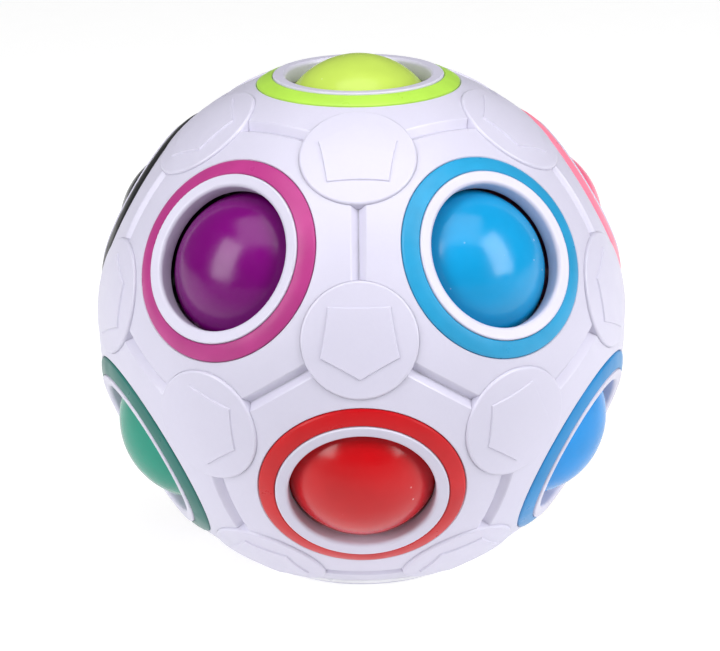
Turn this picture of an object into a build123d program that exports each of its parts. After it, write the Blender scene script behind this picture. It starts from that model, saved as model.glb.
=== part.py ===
from build123d import *
import itertools
import math
import os

# A round puzzle ball. Twelve alike five-sided panels make a hollow shell, each with a round window
# and a coloured ring round it. Twenty caps hold the panels together at their corners. Eleven loose
# balls sit behind eleven windows, round a soft core, and the window at the bottom is empty.
#
# Millimetres, +Z up. The ball stands on the flat rim of its bottom window: the origin is on that
# surface, under the middle of the shell, and the front is -Y.

# Shell. Radii are measured from the middle of the shell.
SHELL_OUTSIDE = 34.85
SHELL_INSIDE = 32.40
SEAM_GAP = 0.03

# Window, in the panel's own frame: heights are above the middle of the shell, along the window's axis.
RIM_TOP = 33.45
RIM_RADIUS = 11.25
RIM_EDGE_ROUND = 0.20
CUP_RADIUS = 9.55
CUP_MOUTH_ROUND = 0.50
LIP_RADIUS = 9.45

# Colour ring and the recess that it sits in.
RECESS_RADIUS = 13.43
RECESS_FLOOR = 33.66
RECESS_EDGE_BREAK = 0.15
RING_PLAY = 0.06
RING_INNER_HEIGHT = 33.29
RING_OUTER_HEIGHT = 32.32
RING_CROWN = 0.08
RING_EDGE_BREAK = 0.18

# Bevelled groove along the seams: half widths and depth.
GROOVE_TOP_HALF = 1.10
GROOVE_SHOULDER_HALF = 0.85
GROOVE_FLOOR_HALF = 0.10
GROOVE_DEPTH = 0.90
GROOVE_SHOULDER_DEPTH = 0.14
GROOVE_REACH_DEGREES = 12
GROOVE_RUN_OUT = 0.02

# Corner caps.
CAP_RADIUS = 7.62
CAP_TOP = 35.20
CAP_EDGE_BREAK = 0.35
CAP_SEAT = 34.00
CAP_PLAY = 0.03
STEM_RADIUS = 2.45
BARB_RADIUS = 3.05
BARB_TOP = 32.12
BARB_HEIGHT = 0.60
STEM_END = 30.40
STEM_END_RADIUS = 1.80
SLIT_WIDTH = 0.80
SLIT_TOP = 33.20
EMBLEM_TOP = 35.40
EMBLEM_BLANK = 1.00
EMBLEM_SUNK = 0.25
EMBLEM_BEVEL_DEGREES = 25
EMBLEM_POINT = 5.25
EMBLEM_SHOULDER = (5.20, 2.30)
EMBLEM_FOOT = (4.07, -4.42)

# Margins of blanks and cutters beyond what they shape.
BLANK_MARGIN_DEGREES = 3
OUTLINE_LOW = 20.00
OUTLINE_HIGH = 39.00
CUT_MARGIN = 2.00
SEAM_OVERCUT = 0.50

# Balls and core. A ball's seat distance is from the middle of the shell to the middle of the ball.
BALL_RADIUS = 10.80
BALL_WALL = 1.50
BALL_REST = 25.10
BALL_ON_LIP = 25.77
SEAT_PLAY = 0.15
CORE_RADIUS = 14.00
CORE_WALL = 2.50

# Directions. The windows face the corners of an icosahedron with one corner up.
ROW_TILT = math.degrees(math.atan(0.5))
EDGE_ANGLE = math.degrees(math.atan(2)) / 2
CORNER_ANGLE = math.degrees(math.acos(math.sqrt((5 + 2 * math.sqrt(5)) / 15)))
ROW_STEP = 72
CENTRE = Vector(0, 0, RIM_TOP)

# Two windows are neighbours above this cosine, and equally far forward within this tolerance.
NEIGHBOUR_COSINE = 0.4
LEVEL_TOLERANCE = 0.01

# The ball that hangs lowest rests on its lip, beside the empty window.
BALL_BESIDE_EMPTY = "lower_0"
EMPTY_WINDOW = "bottom"


def direction(turn, tilt):
    """Unit vector: turn is degrees from the front round to the right, tilt is degrees above level."""
    turn = math.radians(turn)
    tilt = math.radians(tilt)
    return Vector(math.sin(turn) * math.cos(tilt), -math.cos(turn) * math.cos(tilt), math.sin(tilt))


def window_axes():
    """Name and outward axis of each of the twelve windows."""
    axes = {"top": Vector(0, 0, 1), "bottom": Vector(0, 0, -1)}
    for k in range(5):
        axes[f"upper_{k}"] = direction(ROW_STEP / 2 + ROW_STEP * k, ROW_TILT)
        axes[f"lower_{k}"] = direction(ROW_STEP * k, -ROW_TILT)
    return axes


def pole_of(name):
    """The top or bottom window that a panel is turned towards."""
    if name in ("top", "bottom"):
        return {"top": "upper_0", "bottom": "lower_0"}[name]
    return "top" if name.startswith("upper") else "bottom"


def corners(axes):
    """Outward direction of each shell corner, with the three windows round it, top row first."""
    found = []
    for trio in itertools.combinations(sorted(axes), 3):
        pairs = itertools.combinations(trio, 2)
        if all(axes[a].dot(axes[b]) > NEIGHBOUR_COSINE for a, b in pairs):
            middle = axes[trio[0]] + axes[trio[1]] + axes[trio[2]]
            found.append((middle.normalized(), trio))
    return sorted(found, key=lambda item: (-round(item[0].Z, 3), math.atan2(item[0].Y, item[0].X)))


def place(axis, toward):
    """Frame at the middle of the shell: local z along axis, local x turned towards another direction."""
    flat = toward - axis * toward.dot(axis)
    return Plane(origin=CENTRE, x_dir=flat, z_dir=axis)


def height(radius, reach):
    """Height at a distance reach from the axis, on a sphere round the middle of the shell."""
    return math.sqrt(radius * radius - reach * reach)


def shell_arc(radius, start, end):
    """Arc on a sphere round the middle of the shell, between two distances from the axis."""
    middle = (start + end) / 2
    points = [(r, height(radius, r)) for r in (start, middle, end)]
    return ThreePointArc(*points)


def turned(edges):
    """Solid of revolution about local z, from a closed outline of (distance from axis, height)."""
    outline = Plane.XZ * make_face(Wire(edges))
    return revolve(outline, axis=Axis.Z)


def path(*points):
    """Straight edges through the given points."""
    return list(Polyline(*points).edges())


def ball_seat():
    """Lip and inner edge of the seat that a ball rests in, as (distance from axis, height)."""
    seat = BALL_RADIUS + SEAT_PLAY
    lip = (LIP_RADIUS, BALL_ON_LIP + math.sqrt(seat**2 - LIP_RADIUS**2))
    inner_height = (SHELL_INSIDE**2 - seat**2 + BALL_ON_LIP**2) / (2 * BALL_ON_LIP)
    inner = (height(SHELL_INSIDE, inner_height), inner_height)
    middle_height = (lip[1] + inner[1]) / 2
    middle = (math.sqrt(seat**2 - (middle_height - BALL_ON_LIP) ** 2), middle_height)
    return lip, middle, inner


def panel_blank():
    """Round blank of a panel: shell, rim, ring recess, cup and ball seat, before it is made five-sided."""
    lip, seat_middle, seat_inner = ball_seat()
    mouth_edge = (CUP_RADIUS, RIM_TOP - CUP_MOUTH_ROUND)
    mouth_top = (CUP_RADIUS + CUP_MOUTH_ROUND, RIM_TOP)
    rim_top = (RIM_RADIUS - RIM_EDGE_ROUND, RIM_TOP)
    rim_side = (RIM_RADIUS, RIM_TOP - RIM_EDGE_ROUND)
    floor_inner = (RIM_RADIUS, height(RECESS_FLOOR, RIM_RADIUS))
    floor_outer = (RECESS_RADIUS, height(RECESS_FLOOR, RECESS_RADIUS))
    break_out = RECESS_RADIUS + RECESS_EDGE_BREAK
    break_low = (RECESS_RADIUS, height(SHELL_OUTSIDE, RECESS_RADIUS) - RECESS_EDGE_BREAK)
    break_high = (break_out, height(SHELL_OUTSIDE, break_out))
    blank_angle = math.radians(CORNER_ANGLE + BLANK_MARGIN_DEGREES)
    outer_reach = SHELL_OUTSIDE * math.sin(blank_angle)
    inner_reach = SHELL_INSIDE * math.sin(blank_angle)
    edge_top = (outer_reach, height(SHELL_OUTSIDE, outer_reach))
    edge_low = (inner_reach, height(SHELL_INSIDE, inner_reach))
    edges = path(lip, mouth_edge)
    edges.append(RadiusArc(mouth_edge, mouth_top, CUP_MOUTH_ROUND))
    edges += path(mouth_top, rim_top)
    edges.append(RadiusArc(rim_top, rim_side, RIM_EDGE_ROUND))
    edges += path(rim_side, floor_inner)
    edges.append(shell_arc(RECESS_FLOOR, RIM_RADIUS, RECESS_RADIUS))
    edges += path(floor_outer, break_low, break_high)
    edges.append(shell_arc(SHELL_OUTSIDE, break_out, outer_reach))
    edges += path(edge_top, edge_low)
    edges.append(shell_arc(SHELL_INSIDE, inner_reach, seat_inner[0]))
    edges.append(ThreePointArc(seat_inner, seat_middle, lip))
    return turned(edges)


def five_sided(level):
    """Five-sided section of the panel's outline at a height, with half the seam gap taken off."""
    tilt = math.radians(EDGE_ANGLE)
    middle = level * math.tan(tilt) - SEAM_GAP / 2 / math.cos(tilt)
    reach = middle / math.cos(math.radians(ROW_STEP / 2))
    turns = [math.radians(ROW_STEP / 2 + ROW_STEP * k) for k in range(5)]
    points = [(reach * math.cos(turn), reach * math.sin(turn)) for turn in turns]
    return Plane.XY.offset(level) * make_face(Polyline(*points, close=True))


def seam_groove():
    """Cutter for the bevelled groove along the panel's side that faces local x."""
    tilt = math.radians(EDGE_ANGLE)
    outward = Vector(math.sin(tilt), 0, math.cos(tilt))
    across = Vector(math.cos(tilt), 0, -math.sin(tilt))
    floor = SHELL_OUTSIDE - GROOVE_DEPTH
    shoulder = SHELL_OUTSIDE - GROOVE_SHOULDER_DEPTH
    clear = SHELL_OUTSIDE + CUT_MARGIN
    points = [
        (floor, SEAM_OVERCUT),
        (floor, -GROOVE_FLOOR_HALF),
        (shoulder, -GROOVE_SHOULDER_HALF),
        (SHELL_OUTSIDE + GROOVE_RUN_OUT, -GROOVE_TOP_HALF),
        (clear, -GROOVE_TOP_HALF),
        (clear, SEAM_OVERCUT),
    ]
    turn = Axis((0, 0, 0), across)
    section = Plane(origin=(0, 0, 0), x_dir=outward, z_dir=outward.cross(across))
    outline = section * make_face(Polyline(*points, close=True))
    start = outline.rotate(turn, -GROOVE_REACH_DEGREES)
    return revolve(start, axis=turn, revolution_arc=2 * GROOVE_REACH_DEGREES)


def corner_seat():
    """Cutter for a cap's recess and stem hole, along local z."""
    recess = CAP_RADIUS + CAP_PLAY
    hole = STEM_RADIUS + CAP_PLAY
    clear = SHELL_OUTSIDE + CUT_MARGIN
    below = SHELL_INSIDE - CUT_MARGIN
    edges = path((0, clear), (0, below), (hole, below), (hole, height(CAP_SEAT, hole)))
    edges.append(shell_arc(CAP_SEAT, hole, recess))
    edges += path((recess, height(CAP_SEAT, recess)), (recess, clear), (0, clear))
    return turned(edges)


def window_panel():
    """One panel, with its window facing local z and a side facing local x."""
    outline = loft([five_sided(OUTLINE_LOW), five_sided(OUTLINE_HIGH)], ruled=True)
    panel = panel_blank() & outline
    groove = seam_groove()
    seat = Rot(0, CORNER_ANGLE, 0) * corner_seat()
    grooves = [Rot(0, 0, ROW_STEP * k) * groove for k in range(5)]
    seats = [Rot(0, 0, ROW_STEP * (k + 0.5)) * seat for k in range(5)]
    return panel - grooves - seats


def colour_ring():
    """Ring that lies in a panel's recess, with a slightly crowned top and broken edges."""
    inner = RIM_RADIUS + RING_PLAY
    outer = RECESS_RADIUS - RING_PLAY
    under = RECESS_FLOOR + RING_PLAY
    slope = (RING_INNER_HEIGHT - RING_OUTER_HEIGHT) / (outer - inner)
    crown_in = (inner + RING_EDGE_BREAK, RING_INNER_HEIGHT - slope * RING_EDGE_BREAK)
    crown_out = (outer - RING_EDGE_BREAK, RING_OUTER_HEIGHT + slope * RING_EDGE_BREAK)
    crown_middle = ((inner + outer) / 2, (crown_in[1] + crown_out[1]) / 2 + RING_CROWN)
    low_in = (inner, height(under, inner))
    low_out = (outer, height(under, outer))
    edges = path(low_in, (inner, RING_INNER_HEIGHT - RING_EDGE_BREAK), crown_in)
    edges.append(ThreePointArc(crown_in, crown_middle, crown_out))
    edges += path(crown_out, (outer, RING_OUTER_HEIGHT - RING_EDGE_BREAK / 2), low_out)
    edges.append(shell_arc(under, outer, inner))
    return turned(edges)


def cap_body():
    """Disc, stem and barb of a corner cap."""
    seat = CAP_SEAT + CAP_PLAY
    crown = CAP_RADIUS - CAP_EDGE_BREAK
    crown_edge = (crown, height(CAP_TOP, crown))
    side_top = (CAP_RADIUS, crown_edge[1] - CAP_EDGE_BREAK)
    edges = [shell_arc(CAP_TOP, 0, crown)]
    edges.append(RadiusArc(crown_edge, side_top, CAP_EDGE_BREAK))
    edges += path(side_top, (CAP_RADIUS, height(seat, CAP_RADIUS)))
    edges.append(shell_arc(seat, CAP_RADIUS, STEM_RADIUS))
    edges += path(
        (STEM_RADIUS, height(seat, STEM_RADIUS)),
        (STEM_RADIUS, BARB_TOP),
        (BARB_RADIUS, BARB_TOP),
        (BARB_RADIUS, BARB_TOP - BARB_HEIGHT),
        (STEM_END_RADIUS, STEM_END),
        (0, STEM_END),
        (0, CAP_TOP),
    )
    return turned(edges)


def side_poled(radius):
    """Sphere round the local origin whose poles lie along local y, off the face that looks out."""
    return Rot(90, 0, 0) * Sphere(radius)


def emblem():
    """Raised five-sided plate on a cap, with bevelled sides and its point towards local y."""
    left = [(0, EMBLEM_POINT)] + [(-x, y) for x, y in (EMBLEM_SHOULDER, EMBLEM_FOOT)]
    outline = make_face(Polyline(*left, EMBLEM_FOOT, EMBLEM_SHOULDER, close=True))
    base = SHELL_OUTSIDE - EMBLEM_SUNK
    plate = extrude(Plane.XY.offset(base) * outline, amount=EMBLEM_BLANK, taper=EMBLEM_BEVEL_DEGREES)
    return plate & side_poled(EMBLEM_TOP)


def corner_cap():
    """One corner cap, with its disc facing local z and its slit along local x."""
    slit_height = SLIT_TOP - STEM_END + CUT_MARGIN
    slit = Pos(0, 0, SLIT_TOP - slit_height / 2) * Box(4 * BARB_RADIUS, SLIT_WIDTH, slit_height)
    return cap_body() + emblem() - slit


def hollow_ball(radius, wall):
    """Hollow ball round the local origin."""
    return side_poled(radius) - side_poled(radius - wall)


def emblem_target(trio, axes):
    """The window that a cap's emblem points to: the foremost, or the third if two are level."""
    ranked = sorted(trio, key=lambda name: axes[name].Y)
    level = abs(axes[ranked[0]].Y - axes[ranked[1]].Y) < LEVEL_TOLERANCE
    return ranked[2] if level else ranked[0]


def save(shape, name):
    export_step(shape, f"parts/{name}.step")


def main():
    os.makedirs("parts", exist_ok=True)
    axes = window_axes()
    panel = window_panel()
    ring = colour_ring()
    ball = hollow_ball(BALL_RADIUS, BALL_WALL)
    for name, axis in axes.items():
        frame = place(axis, axes[pole_of(name)])
        save(frame * panel, f"panel_{name}")
        save(frame * ring, f"ring_{name}")
        if name != EMPTY_WINDOW:
            distance = BALL_ON_LIP if name == BALL_BESIDE_EMPTY else BALL_REST
            save(frame * (Pos(0, 0, distance) * ball), f"ball_{name}")
    cap = corner_cap()
    for count, (axis, trio) in enumerate(corners(axes)):
        frame = place(axis, axes[emblem_target(trio, axes)])
        save(frame * (Rot(0, 0, -90) * cap), f"cap_{count:02d}")
    save(Pos(*CENTRE) * hollow_ball(CORE_RADIUS, CORE_WALL), "core")


main()
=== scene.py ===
import math

import bpy
from mathutils import Matrix, Vector


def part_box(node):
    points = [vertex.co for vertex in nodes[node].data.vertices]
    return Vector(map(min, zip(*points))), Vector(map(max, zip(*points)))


# Looks for the puzzle ball: moulded white shell, satin rings and glossy balls, on a white table.
# Lengths are in metres, angles in degrees and colours linear.

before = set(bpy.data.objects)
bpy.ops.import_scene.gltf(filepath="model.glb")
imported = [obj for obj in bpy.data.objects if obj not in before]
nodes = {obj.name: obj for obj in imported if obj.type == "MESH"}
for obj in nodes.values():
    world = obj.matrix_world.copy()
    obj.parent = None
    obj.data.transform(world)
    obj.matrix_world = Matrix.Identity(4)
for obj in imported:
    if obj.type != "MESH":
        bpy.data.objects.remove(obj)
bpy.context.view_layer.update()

core_low, core_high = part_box("core")
CENTRE = (core_low + core_high) / 2

# Camera: a long lens, a little above the ball.
CAMERA_TURN = 0.56
CAMERA_RISE = 15.58
CAMERA_ROLL = 0.85
CAMERA_DISTANCE = 0.8755
CAMERA_LENS = 329.9
SENSOR_WIDTH = 36.0
AIM_RIGHT = -0.00024
AIM_UP = -0.00095
CLIP_NEAR = 0.01
CLIP_FAR = 50

# Studio: softboxes aimed at the ball. Turn, rise, distance, width, height, power.
SOFTBOXES = {
    "left": (-51.0, 28.0, 0.60, 0.32, 0.54, 3.1),
    "right": (60.0, 29.0, 0.60, 0.32, 0.54, 3.5),
    "top": (0.0, 76.0, 0.70, 0.60, 0.60, 2.25),
}
WHITE = (1, 1, 1, 1)
ROOM_LIGHT = 0.12

# Floor: it glows under and behind the ball, a painted light, and the glow fades between two places in front
# of it, where the floor's colour is painted darker as well, a painted shade.
FLOOR_SIZE = 8.0
FLOOR_GLOW = 0.66
FLOOR_FADE = (-0.12, -0.025)
FLOOR_ROUGHNESS = 0.9
FLOOR_MOTTLE = 0.004
FLOOR_TONES = (0.46, 0.50)
FLOOR_TONE_IN_FRONT = 0.34

# Shell: sizes across and depths of what its surface shows, and how much lighter or darker it makes it.
SHELL_WHITE = (0.57, 0.552, 0.67)
SHELL_CLOUDS = 0.018
SHELL_CLOUD_TONES = (0.975, 1.02)
SHELL_GRAIN = 0.0006
SHELL_GRAIN_DEPTH = 0.000008
SHELL_GRAIN_TONE = 0.93
SHELL_GRAIN_SHARE = 0.12
SHELL_PATCHES = 0.003
SHELL_ROUGHNESS = (0.31, 0.41)
SHELL_WAVES = 0.009
SHELL_WAVE_DEPTH = 0.00010
SHELL_GLOW_THROUGH = 0.12
SHELL_GLOW_COLOUR = (1.0, 0.9, 1.0)
SHELL_GLOW_DEPTH = 0.0012

# Rings.
RING_COLOURS = {
    "top": (0.39, 0.66, 0.07),
    "upper_4": (0.40, 0.036, 0.20),
    "upper_0": (0.018, 0.285, 0.53),
    "lower_0": (0.50, 0.002, 0.006),
    "lower_4": (0.01, 0.13, 0.11),
    "lower_1": (0.008, 0.21, 0.50),
    "upper_3": (0.012, 0.012, 0.014),
    "upper_1": (0.90, 0.22, 0.33),
    "upper_2": (0.85, 0.17, 0.01),
    "lower_2": (0.90, 0.62, 0.01),
    "lower_3": (0.17, 0.06, 0.02),
    "bottom": (0.78, 0.78, 0.82),
}
RING_IOR = 1.42
RING_CLOUDS = 0.006
RING_CLOUD_TONES = (0.90, 1.08)
RING_PATCHES = 0.0025
RING_ROUGHNESS = (0.27, 0.40)
RING_WAVES = 0.004
RING_WAVE_DEPTH = 0.00006
RING_GRAIN = 0.0004
RING_GRAIN_DEPTH = 0.000006

# Balls.
BALL_COLOURS = {
    "top": (0.46, 0.62, 0.09),
    "upper_4": (0.15, 0.0005, 0.14),
    "upper_0": (0.004, 0.275, 0.57),
    "lower_0": (0.48, 0.003, 0.006),
    "lower_4": (0.006, 0.235, 0.16),
    "lower_1": (0.002, 0.235, 0.62),
    "upper_3": (0.010, 0.010, 0.012),
    "upper_1": (0.86, 0.14, 0.26),
    "upper_2": (0.85, 0.14, 0.008),
    "lower_2": (0.90, 0.58, 0.01),
    "lower_3": (0.12, 0.04, 0.014),
}
BALL_SPECULAR = 0.38
BALL_CLOUDS = 0.007
BALL_CLOUD_TONES = (0.92, 1.06)
BALL_PATCHES = 0.002
BALL_ROUGHNESS = (0.17, 0.27)
BALL_WAVES = 0.005
BALL_WAVE_DEPTH = 0.00003

# Dust and scratches on the balls. A speck's edge is two distances from its middle, as parts of the spacing.
DUST_SPACING = 0.0021
DUST_EDGE = (0.045, 0.085)
DUST_REGIONS = 0.005
DUST_REGION_EDGE = (0.56, 0.60)
DUST_SHARE = 0.75
DUST_PALE = 0.45
DUST_TINT = 0.5
HAIR_LENGTH = 0.006
HAIR_THINNESS = 14.0
HAIR_TURN = (0.3, 0.5, 0.9)
HAIR_EDGE = (0.60, 0.66)
HAIR_DEPTH = 0.000003

# Core.
CORE_ROUGHNESS = 0.75
CORE_CLOUDS = 0.006
CORE_TONES = ((0.42, 0.42, 0.40), (0.50, 0.50, 0.47))
CORE_GRAIN = 0.0005
CORE_GRAIN_DEPTH = 0.00003

# How strongly the bumps show: broad waves, fine grain, and the core's coarser grain.
WAVE_STRENGTH = 0.5
GRAIN_STRENGTH = 0.6
CORE_GRAIN_STRENGTH = 0.8


class Shader:
    """A node material with one Principled shader, and short calls for what drives it."""

    def __init__(self, name):
        self.material = bpy.data.materials.new(name)
        self.material.use_nodes = True
        self.tree = self.material.node_tree
        self.shader = self.tree.nodes["Principled BSDF"]
        self.place = self.node("ShaderNodeTexCoord").outputs["Object"]

    def node(self, kind, **settings):
        made = self.tree.nodes.new(kind)
        for key, value in settings.items():
            setattr(made, key, value)
        return made

    def link(self, start, end):
        self.tree.links.new(start, end)

    def set(self, socket, value):
        """Gives the shader's own socket a value that is the same all over."""
        self.shader.inputs[socket].default_value = value

    def drive(self, socket, value):
        """Links another node's output to the shader."""
        self.link(value, self.shader.inputs[socket])

    def noise(self, size, detail=2.0):
        """Noise whose features are about size metres across."""
        made = self.node("ShaderNodeTexNoise")
        self.link(self.place, made.inputs["Vector"])
        made.inputs["Scale"].default_value = 1 / size
        made.inputs["Detail"].default_value = detail
        return made.outputs["Fac"]

    def span(self, value, low, high, from_low=0.3, from_high=0.7, ease="LINEAR"):
        """Value moved from one range to another, held at the ends."""
        made = self.node("ShaderNodeMapRange", interpolation_type=ease)
        self.link(value, made.inputs["Value"])
        made.inputs["From Min"].default_value = from_low
        made.inputs["From Max"].default_value = from_high
        made.inputs["To Min"].default_value = low
        made.inputs["To Max"].default_value = high
        return made.outputs["Result"]

    def mix(self, factor, first, second):
        """Colour between two, by a factor. Either colour may be another node's output."""
        made = self.node("ShaderNodeMix", data_type="RGBA")
        self.link(factor, made.inputs["Factor"])
        for value, socket in ((first, made.inputs["A"]), (second, made.inputs["B"])):
            if isinstance(value, tuple):
                socket.default_value = (*value, 1)
            else:
                self.link(value, socket)
        return made.outputs["Result"]

    def clouded(self, colour, size, tones):
        """Colour that drifts between a darker and a lighter tone."""
        clouds = self.span(self.noise(size, detail=3), 0, 1)
        return self.mix(clouds, scaled(colour, tones[0]), scaled(colour, tones[1]))

    def bump(self, height, depth, strength, under=None):
        made = self.node("ShaderNodeBump")
        made.inputs["Strength"].default_value = strength
        made.inputs["Distance"].default_value = depth
        self.link(height, made.inputs["Height"])
        if under:
            self.link(under, made.inputs["Normal"])
        return made.outputs["Normal"]


def scaled(colour, factor):
    """A colour made lighter or darker."""
    return tuple(min(1.0, part * factor) for part in colour)


def grey(tone):
    return (tone, tone, tone)


def shell_material():
    """White moulded plastic: faint flow clouding, fine grain and slight waviness."""
    s = Shader("moulded_white")
    tone = s.clouded(SHELL_WHITE, SHELL_CLOUDS, SHELL_CLOUD_TONES)
    grain = s.span(s.noise(SHELL_GRAIN, detail=1), 0, 1)
    pits = s.span(grain, 0, SHELL_GRAIN_SHARE, 0, 1)
    s.drive("Base Color", s.mix(pits, tone, scaled(SHELL_WHITE, SHELL_GRAIN_TONE)))
    s.drive("Roughness", s.span(s.noise(SHELL_PATCHES), *SHELL_ROUGHNESS))
    waves = s.bump(s.noise(SHELL_WAVES, detail=1), SHELL_WAVE_DEPTH, WAVE_STRENGTH)
    s.drive("Normal", s.bump(grain, SHELL_GRAIN_DEPTH, GRAIN_STRENGTH, under=waves))
    s.set("Subsurface Weight", SHELL_GLOW_THROUGH)
    s.set("Subsurface Radius", SHELL_GLOW_COLOUR)
    s.set("Subsurface Scale", SHELL_GLOW_DEPTH)
    return s.material


def ring_material(name, colour):
    """Coloured moulded plastic of a ring: satin, with faint clouding and rubbed patches."""
    s = Shader(f"ring_plastic_{name}")
    s.set("IOR", RING_IOR)
    s.drive("Base Color", s.clouded(colour, RING_CLOUDS, RING_CLOUD_TONES))
    s.drive("Roughness", s.span(s.noise(RING_PATCHES, detail=3), *RING_ROUGHNESS))
    waves = s.bump(s.noise(RING_WAVES, detail=1), RING_WAVE_DEPTH, WAVE_STRENGTH)
    s.drive("Normal", s.bump(s.noise(RING_GRAIN), RING_GRAIN_DEPTH, GRAIN_STRENGTH, under=waves))
    return s.material


def dust(s):
    """How much dust shows: specks of one spacing, kept only in some regions."""
    cells = s.node("ShaderNodeTexVoronoi", feature="F1")
    s.link(s.place, cells.inputs["Vector"])
    cells.inputs["Scale"].default_value = 1 / DUST_SPACING
    specks = s.span(cells.outputs["Distance"], 1, 0, *DUST_EDGE)
    regions = s.span(s.noise(DUST_REGIONS, detail=0), 0, DUST_SHARE, *DUST_REGION_EDGE)
    shown = s.node("ShaderNodeMath", operation="MULTIPLY")
    s.link(specks, shown.inputs[0])
    s.link(regions, shown.inputs[1])
    return shown.outputs[0]


def scratches(s):
    """Hairline scratches: the ridges of a noise that is stretched one way."""
    stretched = s.node("ShaderNodeMapping")
    s.link(s.place, stretched.inputs["Vector"])
    stretched.inputs["Rotation"].default_value = HAIR_TURN
    stretched.inputs["Scale"].default_value = (1.0, HAIR_THINNESS, HAIR_THINNESS)
    hairs = s.node("ShaderNodeTexNoise")
    s.link(stretched.outputs["Vector"], hairs.inputs["Vector"])
    hairs.inputs["Scale"].default_value = 1 / HAIR_LENGTH
    return s.bump(s.span(hairs.outputs["Fac"], 0, 1, *HAIR_EDGE), HAIR_DEPTH, WAVE_STRENGTH)


def ball_material(name, colour):
    """Polished plastic of a ball: deep colour, hairline scratches and a little pale dust."""
    s = Shader(f"ball_plastic_{name}")
    s.set("Specular IOR Level", BALL_SPECULAR)
    clean = s.clouded(colour, BALL_CLOUDS, BALL_CLOUD_TONES)
    pale = tuple(DUST_PALE + DUST_TINT * part for part in colour)
    s.drive("Base Color", s.mix(dust(s), clean, pale))
    s.drive("Roughness", s.span(s.noise(BALL_PATCHES, detail=4), *BALL_ROUGHNESS))
    waves = s.noise(BALL_WAVES, detail=1)
    s.drive("Normal", s.bump(waves, BALL_WAVE_DEPTH, WAVE_STRENGTH, under=scratches(s)))
    return s.material


def core_material():
    """Soft pale rubber with a fine matt grain."""
    s = Shader("soft_core")
    s.set("Roughness", CORE_ROUGHNESS)
    s.drive("Base Color", s.mix(s.noise(CORE_CLOUDS, detail=3), *CORE_TONES))
    s.drive("Normal", s.bump(s.noise(CORE_GRAIN), CORE_GRAIN_DEPTH, CORE_GRAIN_STRENGTH))
    return s.material


def floor_material():
    """White table top. It glows like a lit backdrop, a painted light, except in front of the ball, where
    its colour is darker too, a painted shade.
    """
    s = Shader("white_table")
    s.set("Roughness", FLOOR_ROUGHNESS)
    split = s.node("ShaderNodeSeparateXYZ")
    s.link(s.place, split.inputs["Vector"])
    behind = split.outputs["Y"]
    # Painted light: the floor glows under and behind the ball, fading out in front of it.
    s.drive("Emission Strength", s.span(behind, 0, FLOOR_GLOW, *FLOOR_FADE, ease="SMOOTHSTEP"))
    s.set("Emission Color", WHITE)
    white = s.mix(s.noise(FLOOR_MOTTLE), *map(grey, FLOOR_TONES))
    # Painted shade: in front of the ball the floor's own colour is darker, so the balls reflect less light
    # from there.
    lit = s.span(behind, 0, 1, *FLOOR_FADE, ease="SMOOTHSTEP")
    s.drive("Base Color", s.mix(lit, grey(FLOOR_TONE_IN_FRONT), white))
    return s.material


def dress(node, material):
    """Gives a CAD piece its material."""
    piece = nodes[node]
    piece.data.materials.clear()
    piece.data.materials.append(material)


def aimed(turn, rise, distance):
    """Place and rotation of something that looks at the ball's middle from an angle."""
    turn = math.radians(turn)
    rise = math.radians(rise)
    back = Vector((math.sin(turn) * math.cos(rise), -math.cos(turn) * math.cos(rise), math.sin(rise)))
    return CENTRE + back * distance, back.to_track_quat("Z", "Y")


def make_camera():
    data = bpy.data.cameras.new("camera")
    data.sensor_width = SENSOR_WIDTH
    data.lens = CAMERA_LENS
    data.clip_start = CLIP_NEAR
    data.clip_end = CLIP_FAR
    camera = bpy.data.objects.new("camera", data)
    bpy.context.scene.collection.objects.link(camera)
    place, turn = aimed(CAMERA_TURN, CAMERA_RISE, CAMERA_DISTANCE)
    matrix = turn.to_matrix() @ Matrix.Rotation(math.radians(-CAMERA_ROLL), 3, "Z")
    camera.location = place + matrix @ Vector((AIM_RIGHT, AIM_UP, 0))
    camera.rotation_euler = matrix.to_euler()
    bpy.context.scene.camera = camera


def softbox(name, turn, rise, distance, width, tall, power):
    data = bpy.data.lights.new(name, "AREA")
    data.shape = "RECTANGLE"
    data.size = width
    data.size_y = tall
    data.energy = power
    light = bpy.data.objects.new(name, data)
    bpy.context.scene.collection.objects.link(light)
    light.location, turned = aimed(turn, rise, distance)
    light.rotation_euler = turned.to_euler()


def make_studio():
    for name, setting in SOFTBOXES.items():
        softbox(f"softbox_{name}", *setting)
    world = bpy.data.worlds.new("studio")
    bpy.context.scene.world = world
    world.use_nodes = True
    room = world.node_tree.nodes["Background"]
    room.inputs["Color"].default_value = WHITE
    room.inputs["Strength"].default_value = ROOM_LIGHT
    bpy.context.scene.view_settings.view_transform = "Standard"
    bpy.ops.mesh.primitive_plane_add(size=FLOOR_SIZE)
    floor = bpy.context.object
    floor.name = "table_top"
    floor.data.materials.append(floor_material())


def dress_ball():
    white = shell_material()
    for node in nodes:
        kind, _, window = node.partition("_")
        if kind in ("panel", "cap"):
            dress(node, white)
        elif kind == "ring":
            dress(node, ring_material(window, RING_COLOURS[window]))
        elif kind == "ball":
            dress(node, ball_material(window, BALL_COLOURS[window]))
    dress("core", core_material())


make_camera()
make_studio()
dress_ball()
